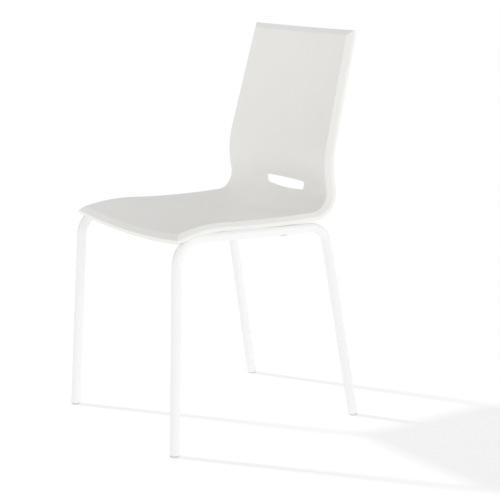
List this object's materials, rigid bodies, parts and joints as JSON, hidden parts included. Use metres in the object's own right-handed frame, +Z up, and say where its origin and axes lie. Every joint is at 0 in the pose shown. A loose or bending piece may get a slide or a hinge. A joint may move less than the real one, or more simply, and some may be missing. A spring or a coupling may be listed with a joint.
{
  "type": "stacking chair",
  "caption": "Stacking side chair: one moulded seat and back shell with a bevelled edge and a hand slot, on bent round tube side frames.",
  "frame": {"origin": "on the floor, at the middle of the chair's overall footprint", "axes": "+Z up, the sitter faces -Y, +X is the sitter's left"},
  "size_m": [0.4414, 0.4872, 0.8259],
  "materials": {
    "shell_plastic": "satin moulded, off-white",
    "frame_paint": "white powder coat",
    "zinc_steel": "zinc plated",
    "brass": "plain",
    "glide_nylon": "moulded nylon, light grey",
    "buffer_plastic": "soft plastic, white"
  },
  "bodies": {
    "root": {"seat_shell": "shell_plastic", "left_leg_frame": "frame_paint", "right_leg_frame": "frame_paint", "front_cross_tube": "frame_paint", "rear_cross_tube": "frame_paint", "front_left_mounting_tab": "frame_paint", "front_right_mounting_tab": "frame_paint", "rear_left_mounting_tab": "frame_paint", "rear_right_mounting_tab": "frame_paint", "shell_screws": "zinc_steel", "screw_washers": "zinc_steel", "threaded_inserts": "brass", "front_left_glide": "glide_nylon", "front_right_glide": "glide_nylon", "rear_left_glide": "glide_nylon", "rear_right_glide": "glide_nylon", "left_stacking_buffer": "buffer_plastic", "right_stacking_buffer": "buffer_plastic"}
  },
  "joints": []
}
